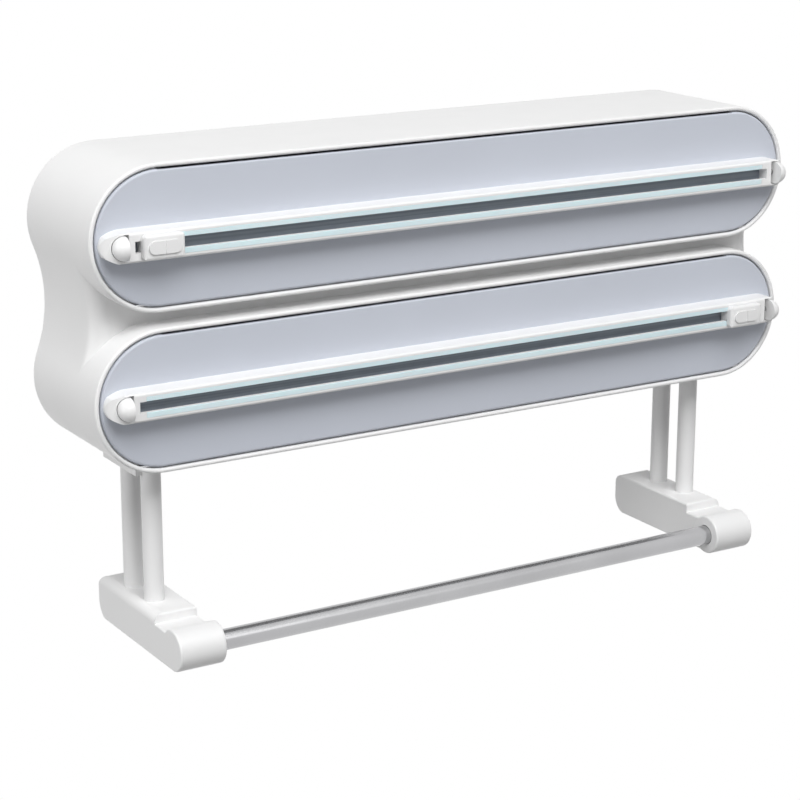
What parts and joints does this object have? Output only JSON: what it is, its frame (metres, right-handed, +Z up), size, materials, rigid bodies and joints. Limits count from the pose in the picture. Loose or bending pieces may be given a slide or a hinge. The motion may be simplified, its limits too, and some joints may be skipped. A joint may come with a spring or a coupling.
{
  "type": "kitchen wrap dispenser",
  "caption": "Wall-hung wrap dispenser: stacked rounded bays with tip-out covers, slide cutters in grooved rails, end release buttons and a sprung paper towel bar on posts below.",
  "frame": {"origin": "middle of the four wall screw holes, on the wall face of the back panel", "axes": "X to the right along the width, Y into the wall, Z up"},
  "size_m": [0.39, 0.093, 0.2331],
  "materials": {
    "white_plastic": "satin gloss white moulding",
    "gray_plastic": "fine matte lavender gray moulding",
    "cyan_strip": "soft translucent pale cyan grip strip",
    "slate_plastic": "dark slate moulding",
    "bar_steel": "bright stainless tube",
    "blade_steel": "ground blade steel",
    "screw_steel": "plain zinc plated steel"
  },
  "bodies": {
    "frame": {"housing": "white_plastic", "back_panel": "white_plastic", "back_screws": "screw_steel", "left_post_plate": "slate_plastic", "right_post_plate": "slate_plastic", "left_rear_post": "white_plastic", "left_front_post": "white_plastic", "right_rear_post": "white_plastic", "right_front_post": "white_plastic", "post_screws": "screw_steel", "left_bracket": "white_plastic", "right_bracket": "white_plastic"},
    "upper_cover": {"upper_cover": "gray_plastic", "upper_rail": "white_plastic", "upper_strip_top": "cyan_strip", "upper_strip_low": "cyan_strip", "upper_track": "slate_plastic", "upper_hinge_pins": "screw_steel", "upper_rail_screws": "screw_steel", "upper_left_spring": "screw_steel", "upper_right_spring": "screw_steel"},
    "upper_slider": {"upper_slider": "white_plastic", "upper_slider_grip": "white_plastic", "upper_blade": "blade_steel"},
    "upper_left_button": {"upper_left_button": "white_plastic"},
    "upper_right_button": {"upper_right_button": "white_plastic"},
    "lower_cover": {"lower_cover": "gray_plastic", "lower_rail": "white_plastic", "lower_strip_top": "cyan_strip", "lower_strip_low": "cyan_strip", "lower_track": "slate_plastic", "lower_hinge_pins": "screw_steel", "lower_rail_screws": "screw_steel", "lower_left_spring": "screw_steel", "lower_right_spring": "screw_steel"},
    "lower_slider": {"lower_slider": "white_plastic", "lower_slider_grip": "white_plastic", "lower_blade": "blade_steel"},
    "lower_left_button": {"lower_left_button": "white_plastic"},
    "lower_right_button": {"lower_right_button": "white_plastic"},
    "bar_plunger": {"bar_plunger": "white_plastic"},
    "towel_bar": {"bar_tube": "bar_steel", "bar_cap": "white_plastic", "bar_bush": "white_plastic", "bar_stop": "white_plastic", "bar_spring": "screw_steel"}
  },
  "joints": [
    {"name": "upper_cover_hinge", "type": "hinge", "parent": "frame", "child": "upper_cover", "pos_m": [0, -0.0685, 0.00775], "axis": [1, 0, 0], "range_deg": [0, 60]},
    {"name": "upper_cut", "type": "slide", "parent": "upper_cover", "child": "upper_slider", "axis": [1, 0, 0], "range_m": [-0.003, 0.332]},
    {"name": "upper_left_press", "type": "slide", "parent": "upper_cover", "child": "upper_left_button", "axis": [1, 0, 0], "range_m": [0, 0.0016], "stiffness_N_per_m": 400, "springref_m": -0.003, "deforming": ["upper_left_spring"]},
    {"name": "upper_right_press", "type": "slide", "parent": "upper_cover", "child": "upper_right_button", "axis": [-1, 0, 0], "range_m": [0, 0.0016], "stiffness_N_per_m": 400, "springref_m": -0.003, "deforming": ["upper_right_spring"]},
    {"name": "lower_cover_hinge", "type": "hinge", "parent": "frame", "child": "lower_cover", "pos_m": [0, -0.0685, -0.06685], "axis": [1, 0, 0], "range_deg": [0, 60]},
    {"name": "lower_cut", "type": "slide", "parent": "lower_cover", "child": "lower_slider", "axis": [-1, 0, 0], "range_m": [-0.003, 0.332]},
    {"name": "lower_left_press", "type": "slide", "parent": "lower_cover", "child": "lower_left_button", "axis": [1, 0, 0], "range_m": [0, 0.0016], "stiffness_N_per_m": 400, "springref_m": -0.003, "deforming": ["lower_left_spring"]},
    {"name": "lower_right_press", "type": "slide", "parent": "lower_cover", "child": "lower_right_button", "axis": [-1, 0, 0], "range_m": [0, 0.0016], "stiffness_N_per_m": 400, "springref_m": -0.003, "deforming": ["lower_right_spring"]},
    {"name": "bar_spin", "type": "hinge", "parent": "frame", "child": "bar_plunger", "pos_m": [0, -0.083, -0.15205], "axis": [1, 0, 0], "continuous": true},
    {"name": "bar_release", "type": "slide", "parent": "bar_plunger", "child": "towel_bar", "axis": [1, 0, 0], "range_m": [0, 0.0085], "stiffness_N_per_m": 250, "springref_m": -0.012, "deforming": ["bar_spring"]}
  ]
}
